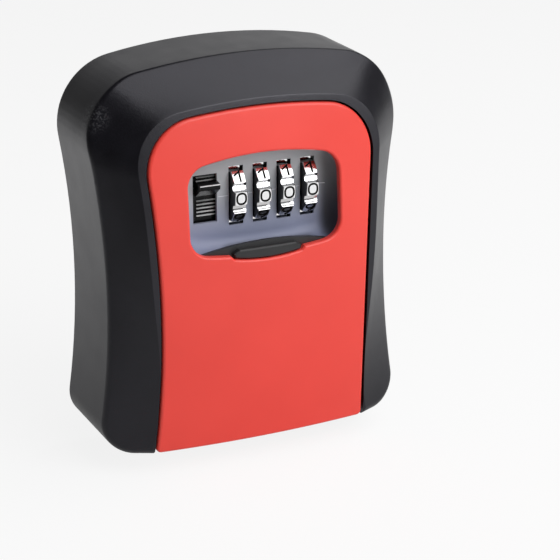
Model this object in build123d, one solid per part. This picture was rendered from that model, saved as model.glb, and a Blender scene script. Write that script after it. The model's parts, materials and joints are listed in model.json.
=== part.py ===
"""Wall key cabinet with a drop-down door, a four-wheel combination lock and a sliding shutter.

Millimetres. +X is to the right seen from the front, +Z is up, and the wall is the plane y = 0.
The front faces -Y, so a depth is the distance from the wall: depth d lies at y = -d.
The origin is the middle of the four wall holes, on the wall plane.
"""
from build123d import *
from math import cos, hypot, radians, sin, sqrt
import os

# Case outline, seen from the front
CASE_TOP = 56.5
CASE_BOTTOM = -56.5
CASE_TOP_RADIUS = 171.0
CASE_CORNER_RADIUS = 19.3
CASE_WAIST = 44.0
CASE_WAIST_Z = -8.2
CASE_SIDE_RADIUS = 243.0
CASE_FOOT_RADIUS = 9.4
CASE_DEPTH = 40.0
CASE_DRAFT = 0.7
WALL = 2.6
BEVEL_WALL = 3.3
BACK_WALL = 2.8

# Bowed front, part of a large ball
FRONT_RADIUS = 285.0
FRONT_CENTRE_Z = -8.5
ON_BALL = 0.01

# Bevel from the rim band back to the shoulder
SHOULDER_INSET = 1.1
SHOULDER_TOP_SETBACK = 19.2
SHOULDER_UPPER_SETBACK = 14.0
SHOULDER_WAIST_SETBACK = 12.6
SHOULDER_FOOT_SETBACK = 11.9
SHOULDER_ROUND = 3.0
SHOULDER_BAND = 4.5
SHORT_EDGE = 3.0
BEVEL_TOP = 9.9
BEVEL_SIDE = 8.9
BEVEL_UPPER_Z = 28.0
BEVEL_CORNER_FRONT = 17.2
BEVEL_CORNER_BACK = 18.4
RIM = 1.75
RIM_ROUND = 0.5

# Wall holes
BOLT_SPACING_X = 44.0
BOLT_SPACING_Z = 66.0
BOLT_HOLE_RADIUS = 2.6
BOLT_BOSS_RADIUS = 5.5
BOLT_BOSS_HEIGHT = 1.2

# Door
DOOR_GAP = 0.55
DOOR_TOP_RADIUS = 154.6
DOOR_CORNER_RADIUS = 15.1
DOOR_WAIST_Z = -21.3
DOOR_SIDE_RADIUS = 485.0
DOOR_FOOT_RADIUS = 1.5
DOOR_FOOT_GAP = 0.5
DOOR_EDGE_ROUND = 1.0
COVER_WALL = 2.0
RETURN_SETBACK = 12.5
JAMB_SETBACK = 12.9
JAMB_WALL = 1.75
FLOOR_EDGE_SETBACK = 13.5

# Hinge at the foot of the door
HINGE_SETBACK = 9.8
HINGE_RISE = 4.2
PIN_RADIUS = 1.25
PIN_CLEARANCE = 0.05
PIN_HEAD_RADIUS = 1.55
PIN_HEAD = 0.8
PIN_IN_CASE = 3.0
KNUCKLE_RADIUS = 3.2
KNUCKLE_LENGTH = 4.4
BOSS_RADIUS = 3.0
BOSS_LENGTH = 3.6
SWEEP_RADIUS = 5.4

# Window in the door
WINDOW_HALF = 23.05
WINDOW_TOP = 30.35
WINDOW_TOP_RADIUS = 85.0
WINDOW_BOTTOM = 1.75
WINDOW_BOTTOM_RADIUS = 160.0
WINDOW_UPPER_CORNER = 6.5
WINDOW_LOWER_CORNER = 6.0
WINDOW_ROUND = 0.7
NOTCH_AIR = 0.3
NOTCH_SLANT = 1.6
NOTCH_CORNER = 0.8

# Shutter, a thin sheet that runs between the door's front and the lock case
SHUTTER_GAP = 0.25
SHUTTER_THICKNESS = 1.1
SHUTTER_HALF = 24.0
SHUTTER_TOP = 5.0
SHUTTER_TOP_RADIUS = 86.0
SHUTTER_BOTTOM = -28.0
SHUTTER_BOTTOM_RADIUS = 400.0
SHUTTER_UPPER_CORNER = 7.0
SHUTTER_LOWER_CORNER = 3.0
SHUTTER_TRAVEL = 26.0
TAB_HALF = 10.0
TAB_BOTTOM = 0.55
TAB_RISE = 0.9
TAB_SHOULDER = 2.6
TAB_TOP = 3.6
TAB_SPLAY = 0.4
TAB_TOP_HALF = 8.6
TAB_SETBACK = 0.3
TAB_CHAMFER = 0.35
RAIL_WIDTH = 1.1
RAIL_MARGIN = 1.2

# Dial panel, a shallow tub
PANEL_RECESS = 9.7
PANEL_THICKNESS = 1.0
TUB_MARGIN = 1.0
TUB_WALL = 1.5
TUB_ROUND = 4.5
TUB_FIT = 0.1
LEVER_SLOT_LEFT = -18.95
LEVER_SLOT_RIGHT = -11.7
LEVER_SLOT_BOTTOM = 9.9
LEVER_SLOT_TOP = 24.0

# Number wheels
DIAL_COUNT = 4
DIAL_FIRST_X = -5.9
DIAL_PITCH = 7.38
DIAL_Z = 16.85
DIAL_APOTHEM = 10.0
DIAL_PROUD = 4.0
DIAL_WIDTH = 3.9
DIAL_PADS = 10
DIAL_PAD_HALF = 1.8
DIAL_GROOVE_APOTHEM = 8.85
DIAL_GROOVE_HALF = 0.5
DIAL_CHAMFER = 0.3
DIAL_BORE = 4.62
DIAL_SPLINE_RADIUS = 5.5
DIAL_SPLINE_WIDTH = 1.3
DIAL_SPLINE_LENGTH = 1.5
DIAL_RELIEF_RADIUS = 5.75
DIAL_SIDE_AIR = 0.25
DIAL_RIM_AIR = 0.3

# Sleeves inside the wheels
HUB_RADIUS = 4.55
HUB_GAP = 0.33
HUB_LEFT = 2.3
HUB_LUG_RADIUS = 5.35
HUB_LUG_WIDTH = 1.05
HUB_LUG_LENGTH = 1.2
HUB_FLAT = 3.1
HUB_FLAT_LEFT = 1.5
HUB_FLAT_RIGHT = 2.45

# Shaft and code-change lever
SHAFT_RADIUS = 1.5
SHAFT_CLEARANCE = 0.05
SHAFT_LEFT = -11.9
SHAFT_RIGHT = 26.4
SHAFT_COLLAR_RADIUS = 3.0
SHAFT_COLLAR = 0.9
END_GAP = 0.3
CLIP_RADIUS = 3.2
CLIP_THICKNESS = 0.4
CLIP_GROOVE = 0.5
CLIP_GROOVE_RADIUS = 1.2
RESET_TRAVEL = 1.4
RESET_WIDTH = 1.2
RESET_RING_RADIUS = 3.0
RESET_ARM_HALF = 2.0
RESET_TAB_WIDTH = 2.6
RESET_TAB = 1.2
RESET_TAB_GAP = 0.4
RESET_SLOT_GAP = 0.3

# Lock case, its rear cover and screws
LOCK_INSET = 3.5
LOCK_BOTTOM = -6.0
LOCK_FOOT_RADIUS = 2.0
LOCK_WALL = 1.6
LOCK_BEHIND_DIALS = 1.9
LOCK_COVER = 1.25
SEAM = 0.05
SKIRT_HALF = 26.4
SKIRT_BOTTOM = -30.0
SKIRT_CORNER = 2.0
SADDLE_WIDTH = 1.6
SADDLE_LEFT_X = -11.8
SADDLE_RIGHT_X = 24.8
SADDLE_ABOVE = 1.6
SCREW_UPPER = (24.5, 32.5)
SCREW_LOWER = (26.6, -3.2)
SCREW_RADIUS = 1.0
SCREW_HEAD_RADIUS = 1.9
SCREW_HEAD = 0.9
SCREW_BOSS_RADIUS = 2.1
SCREW_BITE = 1.0
DRIVE_LENGTH = 2.0
DRIVE_WIDTH = 0.5

# Latch
LATCH_PLATE = 1.2
ARM_LEFT = -19.0
ARM_RIGHT = -13.8
ARM_BOTTOM = 6.5
BRIDGE_AIR = 0.3
LATCH_CORNER = 1.0
LATCH_LOCK_TRAVEL = 1.4
LATCH_OPEN_TRAVEL = 7.2
TONGUE_INNER = 4.0
TONGUE_OUTER = 13.0
TONGUE_REACH = 0.1
TONGUE_GAP = 0.3
COMB_WIDTH = 1.5
COMB_THICKNESS = 1.0
COMB_AIR = 0.3
COMB_OFFSET = 3.75
COMB_RISE = 3.5

# Lever
LEVER_LEFT = -19.6
LEVER_RIGHT = -10.8
LEVER_PLATE = 1.5
LEVER_OVERLAP = 1.0
RIB_LEFT = -17.35
RIB_RIGHT = -11.3
RIB_PITCH = 1.08
RIB_WIDTH = 0.55
RIB_HEIGHT = 0.7
RIB_CHAMFER = 0.32
RIB_UPPER_Z = 21.75
RIBS_ABOVE = 2
RIB_LOWER_Z = 16.0
RIBS_BELOW = 5
RIDGE_LEFT = -18.0
RIDGE_RIGHT = -12.0
RIDGE_TOP = 22.25
RIDGE_ROOT_DROP = 0.7
RIDGE_CREST_DROP = 0.5
RIDGE_SHOULDER = 0.5
RIDGE_CREST = 20.45
RIDGE_FOOT = 18.0
RIDGE_PROUD = 3.3
RIDGE_ROUND = 0.6
RIVET_RADIUS = 0.9
RIVET_HEAD_RADIUS = 1.6
RIVET_HEAD = 0.5
RIVET_BITE = 1.0
RIVET_HEIGHTS = (12.0, 28.0)

# Springs
SPRING_WIRE = 0.28
SPRING_RADIUS = 1.6
SPRING_TURNS = 5
DETENT_THICKNESS = 0.4
DETENT_WIDTH = 3.0
DETENT_BASE = 4.0
DETENT_FOOT_BEHIND = 1.5
DETENT_STEM_BEHIND = 9.9
DETENT_TIP_BEHIND = 7.65
DETENT_BEND_BELOW = 8.95
DETENT_TIP_BELOW = 7.45

# Small edges, the depth by which joined forms run into each other, and how far cutters run past
SMALL_CHAMFER = 0.3
SMALL_ROUND = 0.4
MERGE = 0.2
CUT = 1.0

# Worked out from the sizes above
CENTRE_Y = FRONT_RADIUS - CASE_DEPTH
BEYOND = CASE_DEPTH + 6 * CUT
SHOULDER_TOP_DEPTH = CASE_DEPTH - SHOULDER_TOP_SETBACK
SHOULDER_UPPER_DEPTH = CASE_DEPTH - SHOULDER_UPPER_SETBACK
SHOULDER_WAIST_DEPTH = CASE_DEPTH - SHOULDER_WAIST_SETBACK
SHOULDER_FOOT_DEPTH = CASE_DEPTH - SHOULDER_FOOT_SETBACK
RETURN_DEPTH = CASE_DEPTH - RETURN_SETBACK
JAMB_DEPTH = CASE_DEPTH - JAMB_SETBACK
FLOOR_EDGE_DEPTH = CASE_DEPTH - FLOOR_EDGE_SETBACK
HINGE_DEPTH = CASE_DEPTH - HINGE_SETBACK
FACE_SPAN = RIM + DOOR_GAP
DOOR_TOP = CASE_TOP - SHOULDER_INSET - BEVEL_TOP - FACE_SPAN
DOOR_WAIST = CASE_WAIST - SHOULDER_INSET - BEVEL_SIDE - FACE_SPAN
DOOR_BOTTOM = CASE_BOTTOM + DOOR_FOOT_GAP
HINGE_Z = CASE_BOTTOM + HINGE_RISE
COVER_INSIDE = FRONT_RADIUS - COVER_WALL
SHUTTER_OUTSIDE = COVER_INSIDE - SHUTTER_GAP
SHUTTER_INSIDE = SHUTTER_OUTSIDE - SHUTTER_THICKNESS
LOCK_FRONT = SHUTTER_INSIDE - SHUTTER_GAP
PANEL_DEPTH = CASE_DEPTH - PANEL_RECESS
PANEL_BACK = PANEL_DEPTH - PANEL_THICKNESS
DIAL_RADIUS = hypot(DIAL_APOTHEM, DIAL_PAD_HALF)
DIAL_DEPTH = PANEL_DEPTH + DIAL_PROUD - DIAL_APOTHEM
LOCK_BACK = DIAL_DEPTH - DIAL_RADIUS - LOCK_BEHIND_DIALS
LATCH_BRIDGE_Z = DIAL_Z + DIAL_RADIUS + BRIDGE_AIR + LATCH_OPEN_TRAVEL
LATCH_BRIDGE_TOP = LATCH_BRIDGE_Z + LATCH_PLATE
LOCK_COVER_BACK = LOCK_BACK - SEAM - LOCK_COVER
HUB_RIGHT = DIAL_PITCH - HUB_GAP - HUB_LEFT
DIAL_XS = [DIAL_FIRST_X + i * DIAL_PITCH for i in range(DIAL_COUNT)]
COLLAR_X = DIAL_XS[-1] + HUB_RIGHT + END_GAP
CLIP_X = DIAL_XS[0] - HUB_LEFT - END_GAP - CLIP_THICKNESS
RESET_X = COLLAR_X + SHAFT_COLLAR + 2 * SEAM
SHAFT_BORE = SHAFT_RADIUS + SHAFT_CLEARANCE
PIN_BORE = PIN_RADIUS + PIN_CLEARANCE
TONGUE_FRONT = JAMB_DEPTH - TONGUE_GAP
TONGUE_BACK = TONGUE_FRONT - LATCH_PLATE
LEVER_FACE = PANEL_BACK - RIB_HEIGHT - COMB_AIR
LEVER_BACK = LEVER_FACE - LEVER_PLATE
ARM_FRONT = LEVER_BACK - SEAM
ARM_BACK = ARM_FRONT - LATCH_PLATE
COMB_FRONT = DIAL_DEPTH - HUB_FLAT - COMB_AIR
COMB_BACK = COMB_FRONT - COMB_THICKNESS
COMB_END = DIAL_XS[-1] + COMB_OFFSET + COMB_WIDTH / 2
SPRING_X = (ARM_LEFT + ARM_RIGHT) / 2
SPRING_DEPTH = (ARM_FRONT + ARM_BACK) / 2
SPRING_FLOOR = LOCK_BOTTOM + LOCK_WALL


def prism(face, near, far):
    """Extrude a front-view face from one depth to another."""
    return extrude(Plane.XZ.offset(near) * face, amount=far - near)


def ball(radius):
    """Ball whose surface is parallel to the bowed front."""
    return Pos(0, CENTRE_Y, FRONT_CENTRE_Z) * Sphere(radius)


def front_depth(radius, x, z):
    """Depth of such a ball's surface at a place in front view."""
    return sqrt(radius**2 - x**2 - (z - FRONT_CENTRE_Z) ** 2) - CENTRE_Y


def block(x_range, depth_range, z_range):
    (x0, x1), (d0, d1), (z0, z1) = x_range, depth_range, z_range
    middle = Pos((x0 + x1) / 2, -(d0 + d1) / 2, (z0 + z1) / 2)
    return middle * Box(x1 - x0, d1 - d0, z1 - z0)


def rod(x0, x1, depth, z, radius):
    """Cylinder along X."""
    return Pos((x0 + x1) / 2, -depth, z) * Rot(0, 90, 0) * Cylinder(radius, x1 - x0)


def stud(x, z, near, far, radius):
    """Cylinder along the depth."""
    return prism(Pos(x, z) * Circle(radius), near, far)


def across_x(profile, x0, x1):
    """Extrude a side-view profile, drawn as depth and height, along X."""
    middle = (x0 + x1) / 2
    side = Plane(origin=(middle, 0, 0), x_dir=(0, -1, 0), z_dir=(-1, 0, 0))
    return extrude(side * profile, amount=(x1 - x0) / 2, both=True)


def towards(start, end, distance):
    """Point at a distance from start, on the way to end."""
    length = hypot(end[0] - start[0], end[1] - start[1])
    share = distance / length
    return (start[0] + (end[0] - start[0]) * share, start[1] + (end[1] - start[1]) * share)


def arc_middle(centre, first, second):
    """Middle of the short arc between two points of a circle."""
    radius = hypot(first[0] - centre[0], first[1] - centre[1])
    halfway = ((first[0] + second[0]) / 2, (first[1] + second[1]) / 2)
    return towards(centre, halfway, radius)


def circles_meet(first, first_radius, second, second_radius, upper):
    """One of the two points where two circles cross."""
    dx, dz = second[0] - first[0], second[1] - first[1]
    gap = hypot(dx, dz)
    along = (gap**2 + first_radius**2 - second_radius**2) / (2 * gap)
    across = sqrt(first_radius**2 - along**2)
    points = []
    for sign in (1, -1):
        x = first[0] + along * dx / gap - sign * across * dz / gap
        z = first[1] + along * dz / gap + sign * across * dx / gap
        points.append((x, z))
    return max(points, key=lambda p: p[1] if upper else -p[1])


def shield(top, top_radius, corner_radius, side_centre, side_radius, bottom, foot_radius):
    """Arched outline of tangent arcs. A side radius above 0 curves inwards, below 0 outwards."""
    top_centre = (0, top - top_radius)
    corner = circles_meet(top_centre, top_radius - corner_radius,
                          side_centre, abs(side_radius + corner_radius), True)
    foot_z = bottom + foot_radius
    reach = sqrt((side_radius + foot_radius) ** 2 - (foot_z - side_centre[1]) ** 2)
    inward = -1 if side_radius > 0 else 1
    foot = (side_centre[0] + inward * reach, foot_z)
    top_end = towards(top_centre, corner, top_radius)
    side_start = towards(corner, side_centre, -inward * corner_radius)
    side_end = towards(foot, side_centre, -inward * foot_radius)
    side_mid = arc_middle(side_centre, side_start, side_end)
    edges = [
        ThreePointArc((-top_end[0], top_end[1]), (0, top), top_end),
        ThreePointArc(top_end, arc_middle(corner, top_end, side_start), side_start),
        ThreePointArc(side_start, side_mid, side_end),
    ]
    last = side_end
    if foot_radius > 0:
        last = (foot[0], bottom)
        edges.append(ThreePointArc(side_end, arc_middle(foot, side_end, last), last))
    left = [mirror(edge, about=Plane.YZ) for edge in edges[1:]]
    return make_face(edges + left + [Line((-last[0], bottom), (last[0], bottom))])


def waisted(top, top_radius, corner, waist, waist_z, side_radius, bottom, foot_radius, grow=0.0):
    """Shield with a waist, grown outwards by a distance all round, apart from its bottom line."""
    centre = (waist + side_radius, waist_z)
    return shield(top + grow, top_radius + grow, corner + grow, centre, side_radius - grow,
                  bottom, foot_radius)


def case_outline(grow=0.0, bottom=CASE_BOTTOM):
    return waisted(CASE_TOP, CASE_TOP_RADIUS, CASE_CORNER_RADIUS, CASE_WAIST, CASE_WAIST_Z,
                   CASE_SIDE_RADIUS, bottom, CASE_FOOT_RADIUS + min(grow, 0.0), grow)


def door_outline(grow=0.0, bottom=DOOR_BOTTOM, foot_radius=DOOR_FOOT_RADIUS):
    return waisted(DOOR_TOP, DOOR_TOP_RADIUS, DOOR_CORNER_RADIUS, DOOR_WAIST, DOOR_WAIST_Z,
                   DOOR_SIDE_RADIUS, bottom, foot_radius, grow)


def side_half(waist, waist_z, side_radius, z):
    """Half width of a waisted outline at a height."""
    return waist + side_radius - sqrt(side_radius**2 - (z - waist_z) ** 2)


def door_half(z):
    return side_half(DOOR_WAIST, DOOR_WAIST_Z, DOOR_SIDE_RADIUS, z)


def pebble(half, top, top_radius, bottom, bottom_radius, upper_corner, lower_corner, grow=0.0):
    """Outline with upright sides, arched top and bottom and round corners."""
    half, top, bottom = half + grow, top + grow, bottom - grow
    upper, lower = upper_corner + grow, lower_corner + grow
    crown, keel = (0, top - top_radius - grow), (0, bottom + bottom_radius + grow)
    rise = sqrt((top_radius - upper_corner) ** 2 - (half - upper) ** 2)
    fall = sqrt((bottom_radius - lower_corner) ** 2 - (half - lower) ** 2)
    high = (half - upper, crown[1] + rise)
    low = (half - lower, keel[1] - fall)
    top_end = towards(crown, high, top_radius + grow)
    bottom_end = towards(keel, low, bottom_radius + grow)
    right = [
        ThreePointArc(top_end, arc_middle(high, top_end, (half, high[1])), (half, high[1])),
        Line((half, high[1]), (half, low[1])),
        ThreePointArc((half, low[1]), arc_middle(low, (half, low[1]), bottom_end), bottom_end),
    ]
    left = [mirror(edge, about=Plane.YZ) for edge in right]
    top_arc = ThreePointArc((-top_end[0], top_end[1]), (0, top), top_end)
    bottom_arc = ThreePointArc((-bottom_end[0], bottom_end[1]), (0, bottom), bottom_end)
    return make_face(right + left + [top_arc, bottom_arc])


def window_outline(grow=0.0):
    return pebble(WINDOW_HALF, WINDOW_TOP, WINDOW_TOP_RADIUS, WINDOW_BOTTOM, WINDOW_BOTTOM_RADIUS,
                  WINDOW_UPPER_CORNER, WINDOW_LOWER_CORNER, grow)


def edges_on(part, radius):
    """Edges that lie on a ball parallel to the front."""
    middle = Vector(0, CENTRE_Y, FRONT_CENTRE_Z)

    def lies_on(edge):
        return all(abs((edge.position_at(t) - middle).length - radius) < ON_BALL for t in (0, 0.3, 0.6, 1))

    return [edge for edge in part.edges() if lies_on(edge)]


def circle_through(points):
    """Centre and radius of the circle through three points."""
    (ax, az), (bx, bz), (cx, cz) = points
    twice = 2 * (ax * (bz - cz) + bx * (cz - az) + cx * (az - bz))
    a2, b2, c2 = ax**2 + az**2, bx**2 + bz**2, cx**2 + cz**2
    x = (a2 * (bz - cz) + b2 * (cz - az) + c2 * (az - bz)) / twice
    z = (a2 * (cx - bx) + b2 * (ax - cx) + c2 * (bx - ax)) / twice
    return (x, z), hypot(ax - x, az - z)


def bevel_outline(depth, corner_radius, grow=0.0):
    """Section of the bevel at a depth, from the lines that join its rim to its shoulder."""

    def spread(rim, rim_depth, shoulder, shoulder_depth):
        slope = (shoulder - rim) / (shoulder_depth - rim_depth)
        return rim + slope * (depth - rim_depth)

    sides = []
    for z, shoulder_depth in ((CASE_BOTTOM, SHOULDER_FOOT_DEPTH), (CASE_WAIST_Z, SHOULDER_WAIST_DEPTH),
                              (BEVEL_UPPER_Z, SHOULDER_UPPER_DEPTH)):
        rim = door_half(z) + FACE_SPAN
        shoulder = side_half(CASE_WAIST, CASE_WAIST_Z, CASE_SIDE_RADIUS, z) - SHOULDER_INSET
        sides.append((spread(rim, front_depth(FRONT_RADIUS, rim, z), shoulder, shoulder_depth), z))
    centre, radius = circle_through(sides)
    if centre[0] < sides[1][0]:
        radius = -radius
    rim_top = DOOR_TOP + FACE_SPAN
    top = spread(rim_top, front_depth(FRONT_RADIUS, 0, rim_top),
                 CASE_TOP - SHOULDER_INSET, SHOULDER_TOP_DEPTH)
    return shield(top + grow, DOOR_TOP_RADIUS + grow, corner_radius + grow, centre, radius - grow,
                  CASE_BOTTOM - WALL, 0.0)


def bevel_solid(grow=0.0):
    back, front = SHOULDER_TOP_DEPTH - SHOULDER_ROUND, CASE_DEPTH + CUT
    sections = [
        Plane.XZ.offset(back) * bevel_outline(back, BEVEL_CORNER_BACK, grow),
        Plane.XZ.offset(front) * bevel_outline(front, BEVEL_CORNER_FRONT, grow),
    ]
    lead = prism(bevel_outline(back, BEVEL_CORNER_BACK, grow), -CUT, back)
    return lead + loft(sections, ruled=True)


def case_form():
    """Outer form of the housing, before it is hollowed."""
    sections = [Plane.XZ * case_outline(), Plane.XZ.offset(CASE_DEPTH + CUT) * case_outline(-CASE_DRAFT)]
    form = loft(sections, ruled=True) & bevel_solid() & ball(FRONT_RADIUS)

    def on_shoulder(edge):
        points = [edge.position_at(t) for t in (0, 0.25, 0.5, 0.75, 1)]
        depths = [-p.Y for p in points]
        on_floor = all(p.Z < CASE_BOTTOM + ON_BALL for p in points)
        behind_rim = min(depths) > SHOULDER_TOP_DEPTH - SHOULDER_BAND
        before_rim = max(depths) < SHOULDER_FOOT_DEPTH + SHOULDER_BAND / 2
        along = max(depths) - min(depths) < SHOULDER_BAND and edge.length > SHORT_EDGE
        return behind_rim and before_rim and along and not on_floor

    shoulder = [edge for edge in form.edges() if on_shoulder(edge)]
    form = fillet(shoulder, SHOULDER_ROUND)
    rim = [edge for edge in edges_on(form, FRONT_RADIUS) if edge.center().Z > CASE_BOTTOM + CUT]
    return fillet(rim, RIM_ROUND)


def housing():
    form = case_form()
    hollow = prism(case_outline(-WALL, CASE_BOTTOM + WALL), BACK_WALL, BEYOND)
    hollow = hollow & bevel_solid(-BEVEL_WALL) & ball(FRONT_RADIUS - WALL)
    below = CASE_BOTTOM - WALL
    jamb = prism(door_outline(DOOR_GAP + JAMB_WALL, CASE_BOTTOM, DOOR_FOOT_RADIUS), JAMB_DEPTH, BEYOND)
    opening = prism(door_outline(DOOR_GAP, below, DOOR_FOOT_RADIUS), FLOOR_EDGE_DEPTH, BEYOND)
    jaw = door_half(HINGE_Z) + DOOR_GAP
    relief = rod(-jaw, jaw, HINGE_DEPTH, HINGE_Z, SWEEP_RADIUS)
    shell = form - hollow + (jamb & form)
    for side in (-1, 1):
        boss = rod(0, BOSS_LENGTH, HINGE_DEPTH, HINGE_Z, BOSS_RADIUS)
        start = jaw if side > 0 else -jaw - BOSS_LENGTH
        shell += Pos(start, 0, 0) * boss & form
    shell -= opening
    shell -= relief
    bore_end = jaw + PIN_IN_CASE + PIN_CLEARANCE
    shell -= rod(-bore_end, bore_end, HINGE_DEPTH, HINGE_Z, PIN_BORE)
    for x in (-BOLT_SPACING_X / 2, BOLT_SPACING_X / 2):
        for z in (-BOLT_SPACING_Z / 2, BOLT_SPACING_Z / 2):
            shell += stud(x, z, BACK_WALL - MERGE, BACK_WALL + BOLT_BOSS_HEIGHT, BOLT_BOSS_RADIUS)
            shell -= stud(x, z, -CUT, BEYOND, BOLT_HOLE_RADIUS)
    return shell


def hinge_pins():
    """Two headed pins, pushed outwards through the knuckles into the housing."""
    inner = door_half(HINGE_Z) - KNUCKLE_LENGTH - COVER_WALL - SEAM
    outer = door_half(HINGE_Z) + DOOR_GAP + PIN_IN_CASE
    pin = rod(inner, outer, HINGE_DEPTH, HINGE_Z, PIN_RADIUS)
    head = rod(inner - PIN_HEAD, inner, HINGE_DEPTH, HINGE_Z, PIN_HEAD_RADIUS)
    pin += chamfer(head.edges().filter_by(GeomType.CIRCLE).group_by(Axis.X)[0], SMALL_CHAMFER)
    return Compound(children=[pin, mirror(pin, about=Plane.YZ)])


def notch_outline():
    """Recess in the window's lower rim that the shutter's tab rests in, with an arched floor."""
    half, end, floor = TAB_HALF + NOTCH_AIR, TAB_BOTTOM + TAB_RISE - NOTCH_AIR, TAB_BOTTOM - NOTCH_AIR
    splayed, above = half + NOTCH_SLANT, end + NOTCH_SLANT
    notch = make_face([
        ThreePointArc((-half, end), (0, floor), (half, end)),
        Polyline((half, end), (splayed, above), (splayed, SHUTTER_TOP), (-splayed, SHUTTER_TOP),
                 (-splayed, above), (-half, end)),
    ])
    corners = [v for v in notch.vertices() if v.Y < end + ON_BALL]
    return fillet(corners, NOTCH_CORNER)


def door_cover():
    form = prism(door_outline(), RETURN_DEPTH, BEYOND) & ball(FRONT_RADIUS)
    form = fillet(edges_on(form, FRONT_RADIUS), DOOR_EDGE_ROUND)
    inside = prism(door_outline(-COVER_WALL, DOOR_BOTTOM + COVER_WALL), RETURN_DEPTH - CUT, BEYOND)
    cover = form - (inside & ball(COVER_INSIDE))
    cover -= prism(window_outline(), RETURN_DEPTH, BEYOND) + prism(notch_outline(), RETURN_DEPTH, BEYOND)

    def round_window(edge):
        box = edge.bounding_box()
        beside = abs(edge.center().X) < WINDOW_HALF + CUT
        return beside and box.max.Z < WINDOW_TOP + CUT and box.min.Z > TAB_BOTTOM - CUT

    rim = [edge for edge in edges_on(cover, FRONT_RADIUS) if round_window(edge)]
    cover = fillet(rim, WINDOW_ROUND)
    rail_top = SHUTTER_TOP + SHUTTER_TRAVEL + RAIL_MARGIN
    rail_bottom = SHUTTER_BOTTOM - RAIL_MARGIN
    rail_middle = Pos(SHUTTER_HALF + SHUTTER_GAP + RAIL_WIDTH / 2, (rail_top + rail_bottom) / 2)
    inner_forms = prism(rail_middle * Rectangle(RAIL_WIDTH, rail_top - rail_bottom), RETURN_DEPTH, BEYOND)
    for x, z in (SCREW_UPPER, SCREW_LOWER):
        inner_forms += stud(x, z, RETURN_DEPTH, BEYOND, SCREW_BOSS_RADIUS)
    inner_forms = (inner_forms & ball(COVER_INSIDE + MERGE)) - ball(LOCK_FRONT + SEAM)
    knuckle_start = door_half(HINGE_Z) - KNUCKLE_LENGTH - COVER_WALL
    knuckle_end = door_half(HINGE_Z) - COVER_WALL / 2
    inner_forms += rod(knuckle_start, knuckle_end, HINGE_DEPTH, HINGE_Z, KNUCKLE_RADIUS)
    cover += inner_forms + mirror(inner_forms, about=Plane.YZ)
    cover -= rod(-CASE_WAIST, CASE_WAIST, HINGE_DEPTH, HINGE_Z, PIN_BORE)
    for x, z in (SCREW_UPPER, SCREW_LOWER):
        tip = front_depth(COVER_INSIDE, x, z) + SCREW_BITE
        for side in (-1, 1):
            cover -= stud(side * x, z, RETURN_DEPTH, tip + SEAM, SCREW_RADIUS + SEAM)
    return cover


def shutter_outline():
    return pebble(SHUTTER_HALF, SHUTTER_TOP, SHUTTER_TOP_RADIUS, SHUTTER_BOTTOM, SHUTTER_BOTTOM_RADIUS,
                  SHUTTER_UPPER_CORNER, SHUTTER_LOWER_CORNER)


def shutter():
    sheet = prism(shutter_outline(), RETURN_DEPTH, BEYOND)
    sheet = (sheet & ball(SHUTTER_OUTSIDE)) - ball(SHUTTER_INSIDE)
    end, splayed = TAB_BOTTOM + TAB_RISE, TAB_HALF + TAB_SPLAY
    face = make_face([
        ThreePointArc((-TAB_HALF, end), (0, TAB_BOTTOM), (TAB_HALF, end)),
        Polyline((TAB_HALF, end), (splayed, TAB_SHOULDER), (TAB_TOP_HALF, TAB_TOP),
                 (-TAB_TOP_HALF, TAB_TOP), (-splayed, TAB_SHOULDER), (-TAB_HALF, end)),
    ])
    tab = prism(face, RETURN_DEPTH, BEYOND) & ball(FRONT_RADIUS - TAB_SETBACK)
    tab = chamfer(edges_on(tab, FRONT_RADIUS - TAB_SETBACK), TAB_CHAMFER)
    return sheet + (tab - ball(SHUTTER_INSIDE + SHUTTER_THICKNESS / 2))


def lock_outline(grow=0.0):
    return door_outline(-LOCK_INSET + grow, LOCK_BOTTOM - grow, LOCK_FOOT_RADIUS)


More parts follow.
